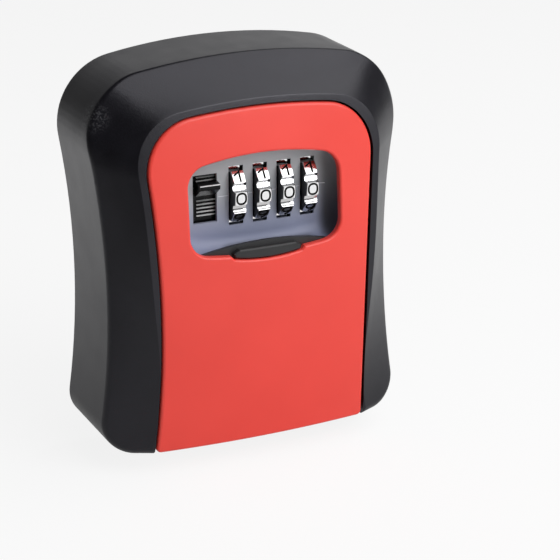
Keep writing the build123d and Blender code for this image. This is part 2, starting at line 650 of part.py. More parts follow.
def lock_case():
    box = prism(lock_outline(), LOCK_BACK, BEYOND)
    skirt = Pos(0, (SKIRT_BOTTOM + LOCK_BOTTOM) / 2) * RectangleRounded(
        2 * SKIRT_HALF, LOCK_BOTTOM - SKIRT_BOTTOM + 2 * SKIRT_CORNER, SKIRT_CORNER)
    plate = prism(skirt, RETURN_DEPTH, BEYOND) - ball(LOCK_FRONT - LOCK_WALL)
    inside = prism(lock_outline(-LOCK_WALL), LOCK_BACK - CUT, BEYOND) & ball(LOCK_FRONT - LOCK_WALL)
    case = ((box - inside) + plate) & ball(LOCK_FRONT)
    case -= prism(window_outline(TUB_MARGIN + TUB_WALL + TUB_FIT), PANEL_BACK - CUT, BEYOND)
    floor = LOCK_BOTTOM + LOCK_WALL / 2
    for x in (SADDLE_LEFT_X, SADDLE_RIGHT_X):
        span = (x - SADDLE_WIDTH / 2, x + SADDLE_WIDTH / 2)
        rib = block(span, (LOCK_BACK + SEAM, DIAL_DEPTH + SADDLE_ABOVE), (floor, DIAL_Z + 2 * SHAFT_RADIUS))
        rib -= rod(*span, DIAL_DEPTH, DIAL_Z, SHAFT_BORE)
        mouth = (DIAL_DEPTH, DIAL_DEPTH + 2 * SADDLE_ABOVE)
        rib -= block(span, mouth, (DIAL_Z - SHAFT_BORE, DIAL_Z + SHAFT_BORE))
        case += rib
    for x, z in (SCREW_UPPER, SCREW_LOWER):
        for side in (-1, 1):
            case += stud(side * x, z, LOCK_BACK, BEYOND, SCREW_BOSS_RADIUS) & ball(LOCK_FRONT)
            case -= stud(side * x, z, LOCK_BACK - CUT, BEYOND, SCREW_RADIUS + SEAM)
    for side in (-1, 1):
        xs = sorted((side * (TONGUE_INNER - TONGUE_GAP), side * (TONGUE_OUTER + TONGUE_GAP)))
        depths = (TONGUE_BACK - TONGUE_GAP, TONGUE_FRONT + TONGUE_GAP)
        case -= block(xs, depths, (LATCH_BRIDGE_Z, DOOR_TOP + CUT))
    xs = (ARM_LEFT - TONGUE_GAP, COMB_END + TONGUE_GAP)
    depths = (COMB_BACK - TONGUE_GAP, TONGUE_FRONT + TONGUE_GAP)
    ceiling = LATCH_BRIDGE_TOP + LATCH_LOCK_TRAVEL + TONGUE_GAP
    return case - block(xs, depths, (LATCH_BRIDGE_Z, ceiling))


def lock_cover():
    plate = prism(lock_outline(), LOCK_COVER_BACK, LOCK_COVER_BACK + LOCK_COVER)
    plate = chamfer(plate.faces().sort_by(Axis.Y)[-1].edges(), SMALL_ROUND)
    for x, z in (SCREW_UPPER, SCREW_LOWER):
        for side in (-1, 1):
            plate -= stud(side * x, z, 0, BEYOND, SCREW_RADIUS + SEAM)
    xs = (RESET_X - RESET_TRAVEL - RESET_SLOT_GAP, RESET_X + RESET_WIDTH + RESET_TAB_WIDTH / 2)
    half = RESET_ARM_HALF + RESET_SLOT_GAP
    return plate - block(xs, (0, LOCK_BACK), (DIAL_Z - half, DIAL_Z + half))


def cover_screws():
    screws = []
    for x, z in (SCREW_UPPER, SCREW_LOWER):
        tip = front_depth(COVER_INSIDE, x, z) + SCREW_BITE
        under_head = LOCK_COVER_BACK - SEAM
        for side in (-1, 1):
            head = stud(side * x, z, under_head - SCREW_HEAD, under_head, SCREW_HEAD_RADIUS)
            head = chamfer(head.edges().group_by(Axis.Y)[-1], SMALL_ROUND)
            cross = Rectangle(DRIVE_LENGTH, DRIVE_WIDTH) + Rectangle(DRIVE_WIDTH, DRIVE_LENGTH)
            head -= prism(Pos(side * x, z) * cross, 0, under_head - SCREW_HEAD / 2)
            screws.append(head + stud(side * x, z, under_head, tip, SCREW_RADIUS))
    return Compound(children=screws)


def dial_panel():
    outer = prism(window_outline(TUB_MARGIN + TUB_WALL), PANEL_BACK, BEYOND) & ball(LOCK_FRONT)
    pocket = prism(window_outline(TUB_MARGIN), PANEL_DEPTH, BEYOND)
    pocket = fillet(pocket.faces().sort_by(Axis.Y)[-1].edges(), TUB_ROUND)
    panel = outer - pocket
    half = DIAL_WIDTH / 2 + DIAL_SIDE_AIR
    for x in DIAL_XS:
        panel -= rod(x - half, x + half, DIAL_DEPTH, DIAL_Z, DIAL_RADIUS + DIAL_RIM_AIR)
    through = (PANEL_BACK - CUT, PANEL_DEPTH + TUB_ROUND)
    return panel - block((LEVER_SLOT_LEFT, LEVER_SLOT_RIGHT), through, (LEVER_SLOT_BOTTOM, LEVER_SLOT_TOP))


def on_dial_axis(x):
    """Frame at a wheel's middle, whose local Z is the shaft's line."""
    return Pos(x, -DIAL_DEPTH, DIAL_Z) * Rot(0, 90, 0)


def dial(x):
    """Number wheel: ten flat pads with grooves between them, and an inner spline on its right half."""
    turn = 360 / DIAL_PADS
    rim = []
    for i in range(DIAL_PADS):
        pad = radians(i * turn - 90)
        groove = pad + radians(turn / 2)
        for angle, apothem, half in ((pad, DIAL_APOTHEM, DIAL_PAD_HALF),
                                     (groove, DIAL_GROOVE_APOTHEM, DIAL_GROOVE_HALF)):
            for across in (-half, half):
                rim.append((apothem * cos(angle) - across * sin(angle),
                            apothem * sin(angle) + across * cos(angle)))
    wheel = extrude(Polygon(*rim, align=None), amount=DIAL_WIDTH / 2, both=True)
    blank = Cylinder(DIAL_RADIUS + ON_BALL, DIAL_WIDTH)
    wheel = wheel & chamfer(blank.edges().filter_by(GeomType.CIRCLE), DIAL_CHAMFER)
    wheel -= Cylinder(DIAL_BORE, DIAL_WIDTH)
    spline_start = DIAL_WIDTH / 2 - DIAL_SPLINE_LENGTH
    relief = DIAL_WIDTH - DIAL_SPLINE_LENGTH
    wheel -= Pos(0, 0, spline_start - relief / 2) * Cylinder(DIAL_RELIEF_RADIUS, relief)
    slots = Pos(DIAL_SPLINE_RADIUS / 2, 0) * Rectangle(DIAL_SPLINE_RADIUS, DIAL_SPLINE_WIDTH)
    for i in range(DIAL_PADS):
        cutter = extrude(slots, amount=DIAL_WIDTH / 2)
        wheel -= Rot(0, 0, i * turn) * cutter
    return on_dial_axis(x) * wheel


def dial_hub(x):
    """Sleeve that the wheel drives by two lugs.

    Both ends have a flat for the latch comb, and a second one a quarter turn on, between two figures.
    """
    hub = Pos(0, 0, (HUB_RIGHT - HUB_LEFT) / 2) * Cylinder(HUB_RADIUS, HUB_RIGHT + HUB_LEFT)
    lug_middle = DIAL_WIDTH / 2 - DIAL_SPLINE_LENGTH / 2
    hub += Pos(0, 0, lug_middle) * Box(2 * HUB_LUG_RADIUS, HUB_LUG_WIDTH, HUB_LUG_LENGTH)
    hub -= Cylinder(SHAFT_BORE, 2 * DIAL_PITCH)
    for start, length in ((-HUB_LEFT, HUB_FLAT_LEFT), (HUB_RIGHT - HUB_FLAT_RIGHT, HUB_FLAT_RIGHT)):
        flat = Pos(0, HUB_FLAT + HUB_RADIUS / 2, start + length / 2)
        flat = flat * Box(2 * HUB_RADIUS, HUB_RADIUS, length)
        hub -= flat
        hub -= Rot(0, 0, -90) * flat
    return on_dial_axis(x) * hub


def dial_shaft():
    shaft = rod(SHAFT_LEFT, SHAFT_RIGHT, DIAL_DEPTH, DIAL_Z, SHAFT_RADIUS)
    shaft = chamfer(shaft.edges().filter_by(GeomType.CIRCLE), SMALL_CHAMFER)
    shaft += rod(COLLAR_X, COLLAR_X + SHAFT_COLLAR, DIAL_DEPTH, DIAL_Z, SHAFT_COLLAR_RADIUS)
    middle = CLIP_X + CLIP_THICKNESS / 2
    span = (middle - CLIP_GROOVE / 2, middle + CLIP_GROOVE / 2)
    groove = rod(*span, DIAL_DEPTH, DIAL_Z, SHAFT_RADIUS + CUT)
    return shaft - (groove - rod(*span, DIAL_DEPTH, DIAL_Z, CLIP_GROOVE_RADIUS))


def shaft_clip():
    """Open retaining ring in the shaft's groove."""
    span = (CLIP_X, CLIP_X + CLIP_THICKNESS)
    ring = rod(*span, DIAL_DEPTH, DIAL_Z, CLIP_RADIUS)
    ring -= rod(*span, DIAL_DEPTH, DIAL_Z, CLIP_GROOVE_RADIUS + SEAM)
    mouth = (DIAL_Z - CLIP_GROOVE_RADIUS, DIAL_Z + CLIP_GROOVE_RADIUS)
    return ring - block(span, (DIAL_DEPTH, DIAL_DEPTH + CLIP_RADIUS + CUT), mouth)


def reset_lever():
    xs = (RESET_X, RESET_X + RESET_WIDTH)
    ring = rod(*xs, DIAL_DEPTH, DIAL_Z, RESET_RING_RADIUS)
    end = LOCK_COVER_BACK - RESET_TAB_GAP - RESET_TAB
    arm = block(xs, (end, DIAL_DEPTH), (DIAL_Z - RESET_ARM_HALF, DIAL_Z + RESET_ARM_HALF))
    tab_xs = (RESET_X, RESET_X + RESET_TAB_WIDTH)
    tab = block(tab_xs, (end, end + RESET_TAB), (DIAL_Z - RESET_ARM_HALF, DIAL_Z + RESET_ARM_HALF))
    tab = fillet(tab.edges().filter_by(Axis.Z), SMALL_ROUND)
    return ring + arm + tab - rod(*xs, DIAL_DEPTH, DIAL_Z, SHAFT_BORE)


def detent_spring():
    """Sheet comb on the lock case's floor, one finger under each wheel."""
    base_z = LOCK_BOTTOM + LOCK_WALL + SEAM + DETENT_THICKNESS / 2
    front, stem = DIAL_DEPTH - DETENT_FOOT_BEHIND, DIAL_DEPTH - DETENT_STEM_BEHIND
    bend = (stem, DIAL_Z - DETENT_BEND_BELOW)
    tip = (DIAL_DEPTH - DETENT_TIP_BEHIND, DIAL_Z - DETENT_TIP_BELOW)
    line = Polyline((front, base_z), (stem, base_z), bend, tip)
    strip = trace(line, DETENT_THICKNESS)
    xs = (DIAL_XS[0] - DETENT_WIDTH / 2, DIAL_XS[-1] + DETENT_WIDTH / 2)
    zs = (base_z - DETENT_THICKNESS / 2, base_z + DETENT_THICKNESS / 2)
    comb = block(xs, (front - DETENT_BASE, front), zs)
    for x in DIAL_XS:
        comb += across_x(strip, x - DETENT_WIDTH / 2, x + DETENT_WIDTH / 2)
    return comb


def latch_plate():
    """Steel plate: an arm for the lever, a bridge over the wheels, a comb and two tongues."""
    plate = block((ARM_LEFT, COMB_END), (COMB_BACK, TONGUE_FRONT), (LATCH_BRIDGE_Z, LATCH_BRIDGE_TOP))
    plate = fillet(plate.edges().filter_by(Axis.Z), LATCH_CORNER)
    root = LATCH_BRIDGE_TOP - LATCH_PLATE / 2
    plate += block((ARM_LEFT, ARM_RIGHT), (ARM_BACK, ARM_FRONT), (ARM_BOTTOM, root))
    for x in DIAL_XS:
        xs = (x + COMB_OFFSET - COMB_WIDTH / 2, x + COMB_OFFSET + COMB_WIDTH / 2)
        plate += block(xs, (COMB_BACK, COMB_FRONT), (DIAL_Z + COMB_RISE, root))
    trim = prism(door_outline(TONGUE_REACH), 0, BEYOND)
    for side in (-1, 1):
        xs = sorted((side * TONGUE_INNER, side * TONGUE_OUTER))
        plate += block(xs, (TONGUE_BACK, TONGUE_FRONT), (LATCH_BRIDGE_Z, DOOR_TOP + CUT)) & trim
    for z in RIVET_HEIGHTS:
        plate -= stud(SPRING_X, z, ARM_BACK - CUT, ARM_FRONT + CUT, RIVET_RADIUS + SEAM)
    return plate


def latch_rivets():
    rivets = []
    for z in RIVET_HEIGHTS:
        head = stud(SPRING_X, z, ARM_BACK - SEAM - RIVET_HEAD, ARM_BACK - SEAM, RIVET_HEAD_RADIUS)
        head = chamfer(head.edges().group_by(Axis.Y)[-1], SMALL_CHAMFER)
        rivets.append(head + stud(SPRING_X, z, ARM_BACK - SEAM, LEVER_BACK + RIVET_BITE, RIVET_RADIUS))
    return Compound(children=rivets)


def open_lever():
    """Ribbed slide behind the panel, with one wedge-shaped ridge that stands out through the slot."""
    bottom = LEVER_SLOT_BOTTOM - LATCH_LOCK_TRAVEL - LEVER_OVERLAP
    top = LEVER_SLOT_TOP + LATCH_OPEN_TRAVEL + LEVER_OVERLAP
    lever = block((LEVER_LEFT, LEVER_RIGHT), (LEVER_BACK, LEVER_FACE), (bottom, top))
    heights = [RIB_UPPER_Z + i * RIB_PITCH for i in range(RIBS_ABOVE)]
    heights += [RIB_LOWER_Z - i * RIB_PITCH for i in range(RIBS_BELOW)]
    for z in heights:
        low, high, tip = z - RIB_WIDTH / 2, z + RIB_WIDTH / 2, LEVER_FACE + RIB_HEIGHT
        profile = Polygon((LEVER_FACE - MERGE, low), (tip, low), (tip, high - RIB_CHAMFER),
                          (tip - RIB_CHAMFER, high), (LEVER_FACE - MERGE, high), align=None)
        lever += across_x(profile, RIB_LEFT, RIB_RIGHT)
    crest = PANEL_DEPTH + RIDGE_PROUD
    root = LEVER_FACE - MERGE
    profile = Polygon((root, RIDGE_TOP - RIDGE_ROOT_DROP), (PANEL_DEPTH + RIDGE_SHOULDER, RIDGE_TOP),
                      (crest, RIDGE_TOP - RIDGE_CREST_DROP), (crest, RIDGE_CREST),
                      (PANEL_DEPTH, RIDGE_FOOT), (root, RIDGE_FOOT), align=None)
    ridge = across_x(profile, RIDGE_LEFT, RIDGE_RIGHT)
    tips = [edge for edge in ridge.edges().filter_by(Axis.X) if -edge.center().Y > crest - ON_BALL]
    ridge = fillet(tips, RIDGE_ROUND)
    lever += ridge
    for z in RIVET_HEIGHTS:
        lever -= stud(SPRING_X, z, LEVER_BACK - CUT, LEVER_BACK + RIVET_BITE + SEAM, RIVET_RADIUS + SEAM)
    return lever


def latch_spring():
    """Coil spring from the lock case's floor to the end of the latch plate's arm."""
    bottom = SPRING_FLOOR + SEAM + SPRING_WIRE
    height = ARM_BOTTOM - SEAM - SPRING_WIRE - bottom
    path = Helix(height / SPRING_TURNS, height, SPRING_RADIUS)
    wire = sweep(Plane(path @ 0, z_dir=path % 0) * RegularPolygon(SPRING_WIRE, 6), path)
    return Pos(SPRING_X, -SPRING_DEPTH, bottom) * wire


def main():
    os.makedirs("parts", exist_ok=True)
    nodes = {
        "housing": housing(),
        "hinge_pins": hinge_pins(),
        "door_cover": door_cover(),
        "shutter": shutter(),
        "lock_case": lock_case(),
        "lock_cover": lock_cover(),
        "cover_screws": cover_screws(),
        "dial_panel": dial_panel(),
        "dial_shaft": dial_shaft(),
        "shaft_clip": shaft_clip(),
        "reset_lever": reset_lever(),
        "detent_spring": detent_spring(),
        "latch_plate": latch_plate(),
        "latch_rivets": latch_rivets(),
        "open_lever": open_lever(),
        "latch_spring": latch_spring(),
    }
    for i, x in enumerate(DIAL_XS, start=1):
        nodes[f"dial_{i}"] = dial(x)
        nodes[f"dial_hub_{i}"] = dial_hub(x)
    for name, shape in nodes.items():
        export_step(shape, f"parts/{name}.step")


main()
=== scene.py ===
"""Looks of the wall key cabinet: finishes, figures on the wheels, index line, light and camera.

Metres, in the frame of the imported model: +X right, +Z up, the front faces -Y.
"""
import json
import math

import bmesh
import bpy
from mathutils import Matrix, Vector

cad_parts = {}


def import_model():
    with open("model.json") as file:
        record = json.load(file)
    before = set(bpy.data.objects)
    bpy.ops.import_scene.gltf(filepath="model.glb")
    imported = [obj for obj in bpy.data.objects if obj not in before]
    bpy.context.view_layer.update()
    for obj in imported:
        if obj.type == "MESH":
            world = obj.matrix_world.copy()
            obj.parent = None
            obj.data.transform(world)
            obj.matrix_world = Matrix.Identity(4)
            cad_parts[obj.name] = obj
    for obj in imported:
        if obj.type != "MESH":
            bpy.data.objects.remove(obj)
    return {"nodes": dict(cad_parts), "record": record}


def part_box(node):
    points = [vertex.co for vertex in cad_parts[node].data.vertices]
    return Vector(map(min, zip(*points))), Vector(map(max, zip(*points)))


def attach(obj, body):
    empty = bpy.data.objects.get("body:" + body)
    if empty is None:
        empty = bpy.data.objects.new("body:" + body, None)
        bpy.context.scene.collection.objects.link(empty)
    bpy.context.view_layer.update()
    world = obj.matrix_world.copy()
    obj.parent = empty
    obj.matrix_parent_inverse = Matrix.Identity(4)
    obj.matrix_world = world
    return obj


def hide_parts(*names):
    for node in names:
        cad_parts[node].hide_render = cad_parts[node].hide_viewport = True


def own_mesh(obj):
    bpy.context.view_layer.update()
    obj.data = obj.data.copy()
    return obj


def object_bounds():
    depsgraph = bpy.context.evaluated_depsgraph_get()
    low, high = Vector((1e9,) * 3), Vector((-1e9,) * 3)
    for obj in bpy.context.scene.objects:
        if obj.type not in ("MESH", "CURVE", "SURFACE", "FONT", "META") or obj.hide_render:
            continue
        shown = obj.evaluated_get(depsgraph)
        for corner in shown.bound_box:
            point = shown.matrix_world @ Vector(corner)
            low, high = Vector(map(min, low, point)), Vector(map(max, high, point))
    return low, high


MM = 0.001

# Camera, found from the photograph's perspective
PHOTO_SIZE = 560
CAMERA_AZIMUTH = -25.14
CAMERA_ELEVATION = 19.92
CAMERA_DISTANCE = 560.4 * MM
CAMERA_TARGET = Vector((12.60, -20.0, -14.71)) * MM
FOCAL_PIXELS = 1902.9
SENSOR_WIDTH = 36.0
VIEW_NEAR = 0.01
VIEW_FAR = 20.0

# Lamps that face the middle of the part, placed as the camera's angles are counted
LAMPS = {
    "top_light": {"azimuth": 47.0, "elevation": 61.0, "distance": 0.85, "size": (1.3, 0.75), "watts": 5.5},
    "front_light": {"azimuth": 28.0, "elevation": 27.0, "distance": 1.2, "size": (1.0, 0.8), "watts": 9.9},
}

# World: strength in front and behind, and the shares of it that are left on the left side and overhead
WORLD_FRONT = 0.1
WORLD_BEHIND = 0.56
WORLD_LEFT_SHARE = 0.25
WORLD_ZENITH_SHARE = 0.15
WORLD_BACK_SPAN = (0.25, 0.8)
WORLD_SIDE_SPAN = (-0.5, 0.35)
WORLD_ZENITH_SPAN = (0.4, 0.8)
WHITE = (1.0, 1.0, 1.0)

# Floor: its glow in reflections grows towards the back right, and is weaker close to the part, a painted
# shadow
FLOOR_SIZE = 6.0
FLOOR_DROP = 6.5 * MM
FLOOR_COLOUR = (0.86, 0.86, 0.86)
FLOOR_GLOW = 0.86
FLOOR_BRIGHT_WAY = (1.0, 0.3, 0.0)
FLOOR_BRIGHT_SPAN = (-0.37, 0.0)
FLOOR_BRIGHT_LEVELS = (0.05, 0.92)
FLOOR_SHADOW_SPAN = (0.04, 0.22)
FLOOR_SHADOW_LEVELS = (0.5, 1.0)

# Values between which nearly all of a noise lies
NOISE_SPAN = (0.3, 0.7)

# Slow change of colour in the ink of the figures and of the index line
PRINT_MOTTLE = 2.0 * MM

# Scuff on the case, its lighter specks also a painted highlight
SCUFF_SHEEN_PLACE = Vector((-42.5, -21.5, 41.0)) * MM
SCUFF_SHEEN_SPAN = (1.5 * MM, 6.5 * MM)
SCUFF_SHEEN_SPECK = 0.5 * MM
SCUFF_SHEEN_SPECK_SPAN = (0.47, 0.62)
SCUFF_SHEEN_STRENGTH = 0.6

# Panel: bluer low down, with painted shade on its right-hand wall, on its foot behind the shutter and on
# the walls of its slots
PANEL_BLUE_RISE = (22.0 * MM, 4.0 * MM)
PANEL_SHADE = (18.8 * MM, 22.0 * MM)
PANEL_SHADE_RISE = (8.0 * MM, 24.0 * MM)
PANEL_SHADE_LEVELS = (0.9, 0.55)
PANEL_FOOT_SHADE_RISE = (3.6 * MM, 1.8 * MM)
PANEL_FOOT_SHADE_SHARE = 0.95
PANEL_SLOTS_LEFT = (-12.0 * MM, -8.0 * MM)
PANEL_SLOTS_RIGHT = (15.0 * MM, 19.0 * MM)
PANEL_SLOT_SHADE_RISE = (4.0 * MM, 4.5 * MM)
SLOT_WALL_SHADE_FACING = (0.8, 0.95)

# Lever: painted highlights on the edges of its ribs and ridge that face forwards and up, above and below
# its middle
LEVER_HIGHLIGHT_FACING = (0.93, 0.98)
LEVER_HIGHLIGHT_ABOVE = (20.0 * MM, 20.3 * MM)
LEVER_HIGHLIGHT_BELOW = (16.6 * MM, 16.9 * MM)

# Wheels
DIAL_COUNT = 4
PAD_COUNT = 10
PAD_APOTHEM = 10.0 * MM
WHEEL_SIDE_SHADE_FACING = (0.75, 0.95)
FIGURE_HEIGHT = 3.55 * MM
FIGURE_WIDTH = 3.25 * MM
FIGURE_LINE = 0.52 * MM
FIGURE_LIFT = 0.01 * MM
FIGURE_THICKNESS = 0.08 * MM

# Painted shade lines in the wheels' grooves, under the pads' edges and along the foot, by distance from the
# axis
GROOVE_SHADE_LINES = ((9.7 * MM, 9.9 * MM), (8.89 * MM, 9.03 * MM))
GROOVE_SHADE_SOFTNESS = 0.03 * MM

# Index line on the panel, beside the wheels' shown figures
INDEX_Z = 17.05 * MM
INDEX_WIDTH = 0.2 * MM
INDEX_LIFT = 0.02 * MM
INDEX_THICKNESS = 0.02 * MM
INDEX_MARGIN = 0.45 * MM
INDEX_STEPS = 8
INDEX_CAST_FROM = -60.0 * MM
INDEX_RIGHT = 21.6 * MM
PANEL_DEPTH = 30.3 * MM
LEVER_SLOT_RIGHT = -11.7 * MM
SLOT_AIR = 0.25 * MM

# Latch spring: round wire, its two end turns closed
SPRING_TURNS = 5
SPRING_STEPS = 28
SPRING_SIDES = 10
SPRING_WIRE = 0.28 * MM
SPRING_CLOSED_PITCH = 0.6 * MM

# Bowed front of the part, a ball
FRONT_RADIUS = 285.0 * MM
FRONT_CENTRE = Vector((0.0, 245.0, -8.5)) * MM

# How far the housing's shoulder moves forward, and where: by height, along the wall, and behind the rim
SHOULDER_SHIFT = 6.0 * MM
SHOULDER_RISE = (38.0 * MM, 56.0 * MM)
SHOULDER_WALL = (2.0 * MM, 12.0 * MM)
SHOULDER_REACH = 17.0 * MM

# Mesh of the moved shoulder: longest edge, and how often edges are halved at most to reach it
SHOULDER_EDGE = 2.0 * MM
SHOULDER_HALVINGS = 6
SAME_POINT = 0.001 * MM

# Start of the rays that tell the housing's outside, and the angle from which an edge is sharp
RAY_LIFT = 0.05 * MM
SHARP_ANGLE = 32.0


def opaque(colour):
    return (*colour, 1.0)


class Shading:
    """Adds nodes to a material or world. A value is a number, a vector or a node's output."""

    def __init__(self, owner):
        owner.use_nodes = True
        self.tree = owner.node_tree

    def node(self, kind, **settings):
        node = self.tree.nodes.new(kind)
        for name, value in settings.items():
            setattr(node, name, value)
        return node

    def feed(self, socket, value):
        """Links a socket to an output, or gives it a fixed value."""
        if isinstance(value, bpy.types.NodeSocket):
            self.tree.links.new(value, socket)
        else:
            socket.default_value = value

    def maths(self, operation, first, second):
        node = self.node("ShaderNodeMath", operation=operation)
        self.feed(node.inputs[0], first)
        self.feed(node.inputs[1], second)
        return node.outputs["Value"]

    def vector_maths(self, operation, first, second, output):
        node = self.node("ShaderNodeVectorMath", operation=operation)
        self.feed(node.inputs[0], first)
        self.feed(node.inputs[1], second)
        return node.outputs[output]

    def graded(self, value, span, levels, interpolation="SMOOTHSTEP"):
        """Step of a value from one level to another."""
        node = self.node("ShaderNodeMapRange", interpolation_type=interpolation)
        node.inputs["From Min"].default_value, node.inputs["From Max"].default_value = span
        node.inputs["To Min"].default_value, node.inputs["To Max"].default_value = levels
        self.feed(node.inputs["Value"], value)
        return node.outputs["Result"]

    def spread(self, noise, low, high):
        """Noise stretched to a range."""
        return self.graded(noise, NOISE_SPAN, (low, high), "LINEAR")

    def place(self, kind="Object"):
        return self.node("ShaderNodeTexCoord").outputs[kind]

    def part_of(self, vector, axis):
        node = self.node("ShaderNodeSeparateXYZ")
        self.feed(node.inputs["Vector"], vector)
        return node.outputs[axis]

    def along_axis(self, axis, span, levels):
        """Smooth step along one axis of the part, between two places in metres."""
        return self.graded(self.part_of(self.place(), axis), span, levels)

    def distance(self, centre, axes=(1.0, 1.0, 1.0)):
        """Distance from a point of the part, counted along some of its axes."""
        flat = self.vector_maths("MULTIPLY", self.place(), axes, "Vector")
        return self.vector_maths("DISTANCE", flat, [c * share for c, share in zip(centre, axes)], "Value")

    def facing(self, span, *directions):
        """1 where the surface faces one of the directions of the part, with a soft step to 0 elsewhere."""
        shares = []
        for direction in directions:
            way = Vector(direction).normalized()
            along = self.vector_maths("DOT_PRODUCT", self.place("Normal"), way, "Value")
            shares.append(self.graded(along, span, (0.0, 1.0)))
        largest = shares[0]
        for share in shares[1:]:
            largest = self.maths("MAXIMUM", largest, share)
        return largest

    def noise(self, size, detail=2.0, stretch=(1.0, 1.0, 1.0)):
        """Noise fixed to the part, with features of about a size in metres."""
        scale = self.node("ShaderNodeMapping")
        scale.inputs["Scale"].default_value = [s / size for s in stretch]
        self.feed(scale.inputs["Vector"], self.place())
        node = self.node("ShaderNodeTexNoise")
        node.inputs["Scale"].default_value = 1.0
        node.inputs["Detail"].default_value = detail
        self.feed(node.inputs["Vector"], scale.outputs["Vector"])
        return node.outputs["Fac"]

    def mix(self, kind, factor, first, second):
        node = self.node("ShaderNodeMix", data_type=kind)
        self.feed(node.inputs["Factor"], factor)
        self.feed(node.inputs["A"], first)
        self.feed(node.inputs["B"], second)
        return node.outputs["Result"]

    def mix_shaders(self, factor, first, second):
        node = self.node("ShaderNodeMixShader")
        self.feed(node.inputs["Fac"], factor)
        self.feed(node.inputs[1], first)
        self.feed(node.inputs[2], second)
        return node.outputs["Shader"]

    def bump(self, height, distance):
        """Normals of a bump of a height in metres."""
        node = self.node("ShaderNodeBump")
        node.inputs["Strength"].default_value = 1.0
        node.inputs["Distance"].default_value = distance
        self.feed(node.inputs["Height"], height)
        return node.outputs["Normal"]

    def surface(self):
        return self.tree.nodes["Principled BSDF"].inputs

    def overlay(self, mask, colour, metallic=None, roughness=None):
        """Lays another colour and finish over a surface where a mask is 1."""
        base, gloss = self.surface()["Base Color"], self.surface()["Roughness"]
        self.feed(base, self.mix("RGBA", mask, base.links[0].from_socket, opaque(colour)))
        if metallic is not None:
            self.feed(self.surface()["Metallic"], self.maths("MULTIPLY", mask, metallic))
        if roughness is not None:
            self.feed(gloss, self.mix("FLOAT", mask, gloss.links[0].from_socket, roughness))


def mottled(name, dark, light, metallic, mottle):
    """New material whose colour changes slowly between two, and the noise that it follows."""
    material = bpy.data.materials.new(name)
    shading = Shading(material)
    slow = shading.noise(mottle)
    colour = shading.mix("RGBA", shading.spread(slow, 0.0, 1.0), opaque(dark), opaque(light))
    shading.feed(shading.surface()["Base Color"], colour)
    shading.surface()["Metallic"].default_value = metallic
    return material, shading, slow


def coated(name, dark, light, roughness, grain=0.25 * MM, grain_height=0.004 * MM, mottle=9.0 * MM,
           roughness_spread=0.06, specular=0.5, tint=WHITE):
    """Paint or moulded plastic: fine grain, slow mottling of colour and gloss."""
    material, shading, slow = mottled(name, dark, light, 0.0, mottle)
    surface = shading.surface()
    surface["Specular IOR Level"].default_value = specular
    surface["Specular Tint"].default_value = opaque(tint)
    gloss = shading.spread(slow, roughness - roughness_spread, roughness + roughness_spread)
    shading.feed(surface["Roughness"], gloss)
    fine = shading.noise(grain, detail=3.0)
    shading.feed(surface["Normal"], shading.bump(fine, grain_height))
    return material


def bare_metal(name, dark, light, roughness, stretch, grain=0.12 * MM, grain_height=0.001 * MM,
               mottle=4.0 * MM, roughness_spread=0.07):
    """Bare or plated metal with a directional grain."""
    material, shading, _ = mottled(name, dark, light, 1.0, mottle)
    fine = shading.noise(grain, detail=3.0, stretch=stretch)
    gloss = shading.spread(fine, roughness - roughness_spread, roughness + roughness_spread)
    shading.feed(shading.surface()["Roughness"], gloss)
    shading.feed(shading.surface()["Normal"], shading.bump(fine, grain_height))
    return material


def case_coat():
    """Black coating with a fine grain and a scuff on the upper left shoulder, whose light specks are partly
    a painted highlight.
    """
    material = coated("case_coat", (0.0068, 0.0064, 0.0085), (0.0098, 0.0094, 0.0125), 0.31,
                      grain=0.5 * MM, grain_height=0.028 * MM, roughness_spread=0.025,
                      tint=(0.93, 0.92, 1.0))
    shading = Shading(material)
    # Scuff with a painted highlight: light grey specks around one place on the upper left shoulder
    near = shading.graded(shading.distance(SCUFF_SHEEN_PLACE), SCUFF_SHEEN_SPAN, (1.0, 0.0))
    specks = shading.graded(shading.noise(SCUFF_SHEEN_SPECK, detail=4.0), SCUFF_SHEEN_SPECK_SPAN, (0.0, SCUFF_SHEEN_STRENGTH))
    shading.overlay(shading.maths("MULTIPLY", near, specks), (0.16, 0.16, 0.17))
    return material


def door_coat():
    """Red paint on the door."""
    return coated("door_coat", (0.79, 0.06, 0.045), (0.83, 0.065, 0.049), 0.31, grain=0.3 * MM,
                  mottle=22.0 * MM, roughness_spread=0.02, specular=0.4)


